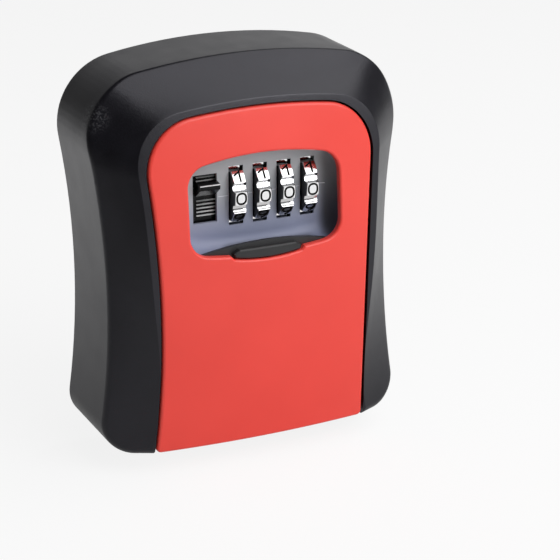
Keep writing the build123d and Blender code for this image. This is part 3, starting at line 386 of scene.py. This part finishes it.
def panel_coat():
    """Blue-grey panel, bluer towards its foot, with painted shade on its right-hand wall, on its foot and
    on the walls of its slots.
    """
    material = coated("panel_coat", (0.385, 0.4, 0.42), (0.405, 0.42, 0.442), 0.45,
                      grain=0.15 * MM, grain_height=0.003 * MM, roughness_spread=0.04, specular=0.35)
    shading = Shading(material)
    shading.overlay(shading.along_axis("Z", PANEL_BLUE_RISE, (0.0, 1.0)), (0.225, 0.25, 0.365))

    # Painted shade: the panel's right-hand wall darkens, more so low down
    shade = shading.maths("MULTIPLY", shading.along_axis("X", PANEL_SHADE, (0.0, 1.0)),
                          shading.along_axis("Z", PANEL_SHADE_RISE, PANEL_SHADE_LEVELS))
    shading.overlay(shade, (0.04, 0.038, 0.045), roughness=0.6)

    middle = shading.maths("MINIMUM", shading.along_axis("X", PANEL_SLOTS_LEFT, (0.0, 1.0)),
                           shading.along_axis("X", PANEL_SLOTS_RIGHT, (1.0, 0.0)))
    # Painted shade on the foot of the panel behind the shutter, across its middle
    foot = shading.along_axis("Z", PANEL_FOOT_SHADE_RISE, (0.0, PANEL_FOOT_SHADE_SHARE))
    shading.overlay(shading.maths("MULTIPLY", foot, middle), (0.008, 0.008, 0.01), roughness=0.6)

    # Painted shade on the walls of the wheels' slots
    walls = shading.facing(SLOT_WALL_SHADE_FACING, (0, 0, 1), (1, 0, 0), (-1, 0, 0))
    raised = shading.along_axis("Z", PANEL_SLOT_SHADE_RISE, (0.0, 1.0))
    slots = shading.maths("MULTIPLY", shading.maths("MULTIPLY", walls, middle), raised)
    shading.overlay(slots, (0.01, 0.01, 0.012), roughness=0.7)
    return material


def wheel_chrome():
    """Bright chrome on the rim, with painted shade lines along the grooves, and side faces painted near
    black as a painted reflection of the dark slots.
    """
    material = bare_metal("chrome_plating", (0.9, 0.9, 0.91), (0.94, 0.94, 0.95), 0.08, (1.0, 0.3, 0.3),
                          grain_height=0.0001 * MM, roughness_spread=0.02)
    shading = Shading(material)
    # Painted reflection: the wheel's side faces are painted near black, like the dark slots beside them
    sides = shading.facing(WHEEL_SIDE_SHADE_FACING, (-1, 0, 0), (1, 0, 0))
    shading.overlay(sides, (0.03, 0.032, 0.033), roughness=0.3)
    low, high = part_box("dial_1")
    radius = shading.distance((low + high) / 2, axes=(0.0, 1.0, 1.0))
    # Painted shade along the grooves and under the pads' edges
    for inner, outer in GROOVE_SHADE_LINES:
        above = shading.graded(radius, (inner - GROOVE_SHADE_SOFTNESS, inner), (0.0, 1.0))
        below = shading.graded(radius, (outer, outer + GROOVE_SHADE_SOFTNESS), (1.0, 0.0))
        shading.overlay(shading.maths("MULTIPLY", above, below), (0.09, 0.09, 0.092))
    return material


def lever_black():
    """Glossy black, with a painted highlight in light metal on the upper edges of its ribs and ridge."""
    material = coated("lever_black", (0.003, 0.003, 0.0035), (0.006, 0.006, 0.0065), 0.24,
                      grain=0.2 * MM, grain_height=0.002 * MM, specular=0.16)
    shading = Shading(material)
    outside = shading.maths("MAXIMUM", shading.along_axis("Z", LEVER_HIGHLIGHT_ABOVE, (0.0, 1.0)),
                            shading.along_axis("Z", LEVER_HIGHLIGHT_BELOW, (1.0, 0.0)))
    # Painted highlight: light metal on the rib and ridge edges that face forwards and up
    edges = shading.maths("MULTIPLY", shading.facing(LEVER_HIGHLIGHT_FACING, (0, -1, 1)), outside)
    shading.overlay(edges, (0.5, 0.5, 0.51), metallic=0.8, roughness=0.4)
    return material


def make_materials():
    """Finishes by the record's slot, or by the node's name where a node has its own."""
    along_x, turned, upright = (0.05, 1.0, 1.0), (1.0, 0.3, 0.3), (1.0, 1.0, 0.05)
    return {
        "case_black": case_coat(),
        "door_red": door_coat(),
        "lock_casting": coated("lock_coat", (0.012, 0.012, 0.013), (0.022, 0.022, 0.024), 0.55,
                               grain=0.4 * MM, grain_height=0.02 * MM),
        "panel_grey": panel_coat(),
        "black_plastic": coated("black_plastic", (0.006, 0.006, 0.0065), (0.011, 0.011, 0.012), 0.38,
                                grain=0.2 * MM),
        "shutter": coated("shutter_black", (0.012, 0.012, 0.013), (0.019, 0.019, 0.021), 0.4,
                          grain_height=0.006 * MM),
        "open_lever": lever_black(),
        "chrome": wheel_chrome(),
        "hub_metal": bare_metal("turned_brass", (0.72, 0.53, 0.25), (0.8, 0.6, 0.31), 0.3, turned),
        "steel": bare_metal("plated_steel", (0.55, 0.55, 0.56), (0.66, 0.66, 0.67), 0.33, upright),
        "dial_shaft": bare_metal("ground_steel", (0.5, 0.5, 0.51), (0.6, 0.6, 0.61), 0.25, along_x),
    }


def dress_nodes(materials):
    """Gives every CAD node its own finish, or that of its record slot."""
    for entry in frame["record"]["subparts"]:
        node = frame["nodes"][entry["node"]]
        node.data.materials.clear()
        node.data.materials.append(materials.get(entry["node"], materials[entry["material_slot"]]))


def add_object(name, data):
    item = bpy.data.objects.new(name, data)
    bpy.context.scene.collection.objects.link(item)
    return item


def mesh_object(mesh, name, material):
    data = bpy.data.meshes.new(name)
    mesh.to_mesh(data)
    mesh.free()
    data.materials.append(material)
    return add_object(name, data)


def add_piece(mesh, name, material, body):
    piece = mesh_object(mesh, name, material)
    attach(piece, body)
    return piece


def join_rings(mesh, rings, closed=False):
    """Skin over a row of rings of vertices, with a face on each end unless the row is closed."""
    pairs = list(zip(rings, rings[1:])) + ([(rings[-1], rings[0])] if closed else [])
    for here, there in pairs:
        for k in range(len(here)):
            after = (k + 1) % len(here)
            mesh.faces.new((here[k], here[after], there[after], there[k]))
    if not closed:
        mesh.faces.new(rings[0])
        mesh.faces.new(rings[-1][::-1])
    bmesh.ops.recalc_face_normals(mesh, faces=mesh.faces)


def arc(centre, radii, start, end, steps=14):
    """Points of an ellipse's arc, angles in degrees counted from the right, upwards."""
    points = []
    for i in range(steps + 1):
        angle = math.radians(start + (end - start) * i / steps)
        points.append((centre[0] + radii[0] * math.cos(angle), centre[1] + radii[1] * math.sin(angle)))
    return points


def full_oval(steps=40, power=0.8):
    """Closed oval in a box 1 wide and 1 high, with fuller corners than an ellipse."""
    points = []
    for i in range(steps):
        angle = 2 * math.pi * i / steps
        across, rise = math.cos(angle), math.sin(angle)
        points.append((0.5 * math.copysign(abs(across) ** power, across),
                       0.5 * math.copysign(abs(rise) ** power, rise)))
    return points


def digit_strokes(digit):
    """Strokes of a digit in a box 1 wide and 1 high about (0, 0): lists of (points, closed)."""
    bowl = arc((0, -0.17), (0.48, 0.33), 0, 360)[:-1]
    hook = arc((0.1, -0.1), (0.58, 0.6), 180, 90)
    upper_ring = arc((0, 0.26), (0.4, 0.24), 0, 360)[:-1]
    lower_ring = arc((0, -0.24), (0.48, 0.26), 0, 360)[:-1]
    strokes = {
        0: [(full_oval(), True)],
        1: [([(-0.5, 0.14), (0.12, 0.5), (0.12, -0.5)], False)],
        2: [(arc((0, 0.2), (0.46, 0.3), 165, -35) + [(-0.48, -0.5), (0.5, -0.5)], False)],
        3: [(arc((0, 0.25), (0.42, 0.25), 150, -90) + arc((0, -0.25), (0.48, 0.25), 90, -150), False)],
        4: [([(0.22, -0.5), (0.22, 0.5), (-0.5, -0.2), (0.5, -0.2)], False)],
        5: [([(0.42, 0.5), (-0.34, 0.5), (-0.4, 0.06)] + arc((0, -0.18), (0.48, 0.32), 130, -150), False)],
        6: [(bowl, True), (hook, False)],
        7: [([(-0.48, 0.5), (0.48, 0.5), (-0.14, -0.5)], False)],
        8: [(upper_ring, True), (lower_ring, True)],
    }
    if digit == 9:
        return [([(-x, -z) for x, z in points], closed) for points, closed in strokes[6]]
    return strokes[digit]


def ribbon_sides(points, closed, half):
    """Left and right border of a line of even width, mitred at its corners."""
    count = len(points)
    sides = []
    for i, point in enumerate(points):
        here = Vector(point)
        before = Vector(points[i - 1]) if closed or i > 0 else None
        after = Vector(points[(i + 1) % count]) if closed or i < count - 1 else None
        arriving = (here - before).normalized() if before is not None else None
        leaving = (after - here).normalized() if after is not None else None
        first, second = arriving or leaving, leaving or arriving
        across = Vector((-first.y - second.y, first.x + second.x)).normalized()
        stretch = 1.0 / max(across.dot(Vector((-first.y, first.x))), 0.5)
        sides.append((here + across * half * stretch, here - across * half * stretch))
    return sides


def add_ribbon(mesh, points, closed, half, place):
    """Adds a solid, thin ribbon. place turns (across, up, out) into a point of the frame."""
    rings = []
    for left, right in ribbon_sides(points, closed, half):
        corners = [(left, 0.0), (right, 0.0), (right, 1.0), (left, 1.0)]
        rings.append([mesh.verts.new(place(p.x, p.y, out)) for p, out in corners])
    join_rings(mesh, rings, closed)


def dial_figures(number, material):
    """Painted figures on a wheel's ten pads, 0 in front and the numbers rising upwards."""
    low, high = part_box(f"dial_{number}")
    middle = (low + high) / 2
    wide, tall = FIGURE_WIDTH - FIGURE_LINE, FIGURE_HEIGHT - FIGURE_LINE
    mesh = bmesh.new()
    for digit in range(PAD_COUNT):
        turn = math.radians(digit * 360 / PAD_COUNT)
        out = Vector((0, -math.cos(turn), math.sin(turn)))
        up = Vector((0, math.sin(turn), math.cos(turn)))
        foot = middle + out * (PAD_APOTHEM + FIGURE_LIFT)

        def place(across, rise, level):
            return foot + Vector((across, 0, 0)) + up * rise + out * (level * FIGURE_THICKNESS)

        for points, closed in digit_strokes(digit):
            sized = [(x * wide, z * tall) for x, z in points]
            add_ribbon(mesh, sized, closed, FIGURE_LINE / 2, place)
    add_piece(mesh, f"dial_{number}_figures", material, f"dial_{number}")


def index_line(material):
    """Printed line on the panel, broken where the wheels stand."""
    stops = []
    start = LEVER_SLOT_RIGHT + INDEX_MARGIN
    for number in range(1, DIAL_COUNT + 1):
        low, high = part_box(f"dial_{number}")
        stops.append((start, low.x - SLOT_AIR - INDEX_MARGIN / 2))
        start = high.x + SLOT_AIR + INDEX_MARGIN / 2
    stops.append((start, INDEX_RIGHT))
    panel = frame["nodes"]["dial_panel"]
    mesh = bmesh.new()

    def place(across, rise, level):
        found, spot, _, _ = panel.ray_cast(Vector((across, INDEX_CAST_FROM, rise)), Vector((0, 1, 0)))
        surface = spot.y if found else -PANEL_DEPTH
        return Vector((across, surface - INDEX_LIFT - level * INDEX_THICKNESS, rise))

    for left, right in stops:
        points = [(left + (right - left) * i / INDEX_STEPS, INDEX_Z) for i in range(INDEX_STEPS + 1)]
        add_ribbon(mesh, points, False, INDEX_WIDTH / 2, place)
    add_piece(mesh, "index_line", material, "door")


def coil_rise(turn, open_pitch):
    """Height of the spring's wire above its start, after a number of turns."""
    foot = min(turn, 1.0) * SPRING_CLOSED_PITCH
    middle = max(0.0, min(turn - 1, SPRING_TURNS - 2)) * open_pitch
    head = max(0.0, turn - SPRING_TURNS + 1) * SPRING_CLOSED_PITCH
    return foot + middle + head


def coil_spring(material):
    """Latch spring: a coil of round wire in the place of the model's spring, which is hidden."""
    low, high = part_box("latch_spring")
    middle = (low + high) / 2
    radius = (high.x - low.x) / 2 - SPRING_WIRE
    height = high.z - low.z - 2 * SPRING_WIRE
    open_pitch = (height - 2 * SPRING_CLOSED_PITCH) / (SPRING_TURNS - 2)
    mesh = bmesh.new()
    rings = []
    for step in range(SPRING_TURNS * SPRING_STEPS + 1):
        turn = step / SPRING_STEPS
        out = Vector((math.cos(math.tau * turn), math.sin(math.tau * turn), 0.0))
        rise = low.z + SPRING_WIRE + coil_rise(turn, open_pitch)
        centre = Vector((middle.x, middle.y, rise)) + out * radius
        ring = []
        for side in range(SPRING_SIDES):
            angle = math.tau * side / SPRING_SIDES
            around = out * math.cos(angle) + Vector((0, 0, math.sin(angle)))
            ring.append(mesh.verts.new(centre + around * SPRING_WIRE))
        rings.append(ring)
    join_rings(mesh, rings)
    piece = add_piece(mesh, "latch_coil", material, "door")
    piece.data.shade_smooth()
    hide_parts("latch_spring")
    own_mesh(piece)


def share_between(value, low, high):
    return min(max((value - low) / (high - low), 0.0), 1.0)


def smooth_share(value, low, high):
    share = share_between(value, low, high)
    return share * share * (3 - 2 * share)


def shoulder_shift(place):
    """How far a place on the housing's outside moves forward."""
    x, y, z = place
    front = FRONT_CENTRE.y - math.sqrt(FRONT_RADIUS ** 2 - x ** 2 - (z - FRONT_CENTRE.z) ** 2)
    behind_rim = share_between(y - front, 0.0, SHOULDER_REACH)
    return SHOULDER_SHIFT * smooth_share(-y, *SHOULDER_WALL) * behind_rim * smooth_share(z, *SHOULDER_RISE)


def housing_shell(material):
    """The housing with its shoulder further forward along the top, fading out down both sides."""
    node = frame["nodes"]["housing"]
    mesh = bmesh.new()
    mesh.from_mesh(node.data)
    bmesh.ops.remove_doubles(mesh, verts=mesh.verts, dist=SAME_POINT)
    for _ in range(SHOULDER_HALVINGS):
        coarse = [edge for edge in mesh.edges if edge.calc_length() > SHOULDER_EDGE
                  and max(corner.co.z for corner in edge.verts) > SHOULDER_RISE[0] - SHOULDER_EDGE]
        bmesh.ops.subdivide_edges(mesh, edges=coarse, cuts=1)
        bmesh.ops.triangulate(mesh, faces=mesh.faces)
    for vertex in mesh.verts:
        if vertex.co.z < SHOULDER_RISE[0]:
            continue
        outward = Vector((vertex.co.x, 0.0, vertex.co.z)).normalized()
        hidden = node.ray_cast(vertex.co + outward * RAY_LIFT, outward)[0]
        if not hidden:
            vertex.co.y -= shoulder_shift(vertex.co)
    piece = add_piece(mesh, "housing_shell", material, "case")
    if "custom_normal" in piece.data.attributes:
        piece.data.attributes.remove(piece.data.attributes["custom_normal"])
    piece.data.shade_smooth()
    piece.data.set_sharp_from_angle(angle=math.radians(SHARP_ANGLE))
    piece.modifiers.new("weighted_normals", "WEIGHTED_NORMAL").keep_sharp = True
    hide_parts("housing")


def floor(level):
    """Pale floor: near white to the camera and in reflections, and it keeps the object's shadow.

    In reflections it is bright behind the object and to its right, and nearly unlit in front to the left.
    """
    material = bpy.data.materials.new("floor_white")
    shading = Shading(material)
    shading.tree.nodes.remove(shading.tree.nodes["Principled BSDF"])
    across = shading.vector_maths("DOT_PRODUCT", shading.place(), FLOOR_BRIGHT_WAY, "Value")
    side = shading.graded(across, FLOOR_BRIGHT_SPAN, FLOOR_BRIGHT_LEVELS)
    # Painted shadow: the floor's glow in reflections is weaker close to the part
    near = shading.graded(shading.distance((0.0, 0.0, 0.0)), FLOOR_SHADOW_SPAN, FLOOR_SHADOW_LEVELS)
    rays = shading.node("ShaderNodeLightPath").outputs
    seen = shading.maths("MAXIMUM", rays["Is Camera Ray"], rays["Is Glossy Ray"])
    seen = shading.maths("MAXIMUM", seen, rays["Is Transmission Ray"])
    glow = shading.node("ShaderNodeEmission")
    glow.inputs["Color"].default_value = opaque(WHITE)
    lit = shading.maths("MULTIPLY", side, near)
    shading.feed(glow.inputs["Strength"], shading.maths("MAXIMUM", rays["Is Camera Ray"], lit))
    diffuse = shading.node("ShaderNodeBsdfDiffuse")
    diffuse.inputs["Color"].default_value = opaque(FLOOR_COLOUR)
    mixed = shading.mix_shaders(shading.maths("MULTIPLY", seen, FLOOR_GLOW),
                                diffuse.outputs["BSDF"], glow.outputs["Emission"])
    shading.feed(shading.tree.nodes["Material Output"].inputs["Surface"], mixed)
    mesh = bmesh.new()
    bmesh.ops.create_grid(mesh, x_segments=1, y_segments=1, size=FLOOR_SIZE / 2)
    plane = mesh_object(mesh, "floor", material)
    plane.location.z = level


def world():
    """White all round to the camera. In reflections and as light it is pale behind and to the right."""
    studio = bpy.data.worlds.new("studio")
    bpy.context.scene.world = studio
    shading = Shading(studio)
    shading.tree.nodes.clear()
    way = shading.place("Generated")
    behind = shading.graded(shading.part_of(way, "Y"), WORLD_BACK_SPAN, (WORLD_FRONT, WORLD_BEHIND))
    sideways = shading.graded(shading.part_of(way, "X"), WORLD_SIDE_SPAN, (WORLD_LEFT_SHARE, 1.0))
    overhead = shading.graded(shading.part_of(way, "Z"), WORLD_ZENITH_SPAN, (1.0, WORLD_ZENITH_SHARE))
    level = shading.maths("MULTIPLY", shading.maths("MULTIPLY", behind, sideways), overhead)
    skies = []
    for strength in (level, 1.0):
        sky = shading.node("ShaderNodeBackground")
        sky.inputs["Color"].default_value = opaque(WHITE)
        shading.feed(sky.inputs["Strength"], strength)
        skies.append(sky.outputs["Background"])
    to_camera = shading.node("ShaderNodeLightPath").outputs["Is Camera Ray"]
    output = shading.node("ShaderNodeOutputWorld")
    shading.feed(output.inputs["Surface"], shading.mix_shaders(to_camera, *skies))


def stand(item, target, azimuth, elevation, distance):
    """Puts a lamp or camera at a distance from a target and turns it to the target."""
    a, e = math.radians(azimuth), math.radians(elevation)
    back = Vector((math.sin(a) * math.cos(e), -math.cos(a) * math.cos(e), math.sin(e)))
    item.location = target + back * distance
    item.rotation_mode = "QUATERNION"
    item.rotation_quaternion = back.to_track_quat("Z", "Y")


def softbox(name, azimuth, elevation, distance, size, watts):
    lamp = bpy.data.lights.new(name, "AREA")
    lamp.shape = "RECTANGLE"
    lamp.size, lamp.size_y = size
    lamp.energy = watts
    stand(add_object(name, lamp), Vector((0.0, 0.0, 0.0)), azimuth, elevation, distance)


def camera():
    lens = bpy.data.cameras.new("photo_camera")
    lens.sensor_width = SENSOR_WIDTH
    lens.lens = FOCAL_PIXELS * SENSOR_WIDTH / PHOTO_SIZE
    lens.clip_start, lens.clip_end = VIEW_NEAR, VIEW_FAR
    holder = add_object("photo_camera", lens)
    stand(holder, CAMERA_TARGET, CAMERA_AZIMUTH, CAMERA_ELEVATION, CAMERA_DISTANCE)
    bpy.context.scene.camera = holder


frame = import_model()
cad_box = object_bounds()
finishes = make_materials()
dress_nodes(finishes)
ink = coated("figure_ink", (0.002, 0.002, 0.002), (0.005, 0.005, 0.005), 0.7, mottle=PRINT_MOTTLE,
             specular=0.06)
print_white = coated("print_white", (0.62, 0.64, 0.68), (0.72, 0.74, 0.78), 0.5, mottle=PRINT_MOTTLE)
for dial_number in range(1, DIAL_COUNT + 1):
    dial_figures(dial_number, ink)
index_line(print_white)
coil_spring(finishes["steel"])
housing_shell(finishes["case_black"])
floor(cad_box[0].z - FLOOR_DROP)
world()
for lamp_name, setting in LAMPS.items():
    softbox(lamp_name, **setting)
camera()
bpy.context.scene.view_settings.view_transform = "Standard"
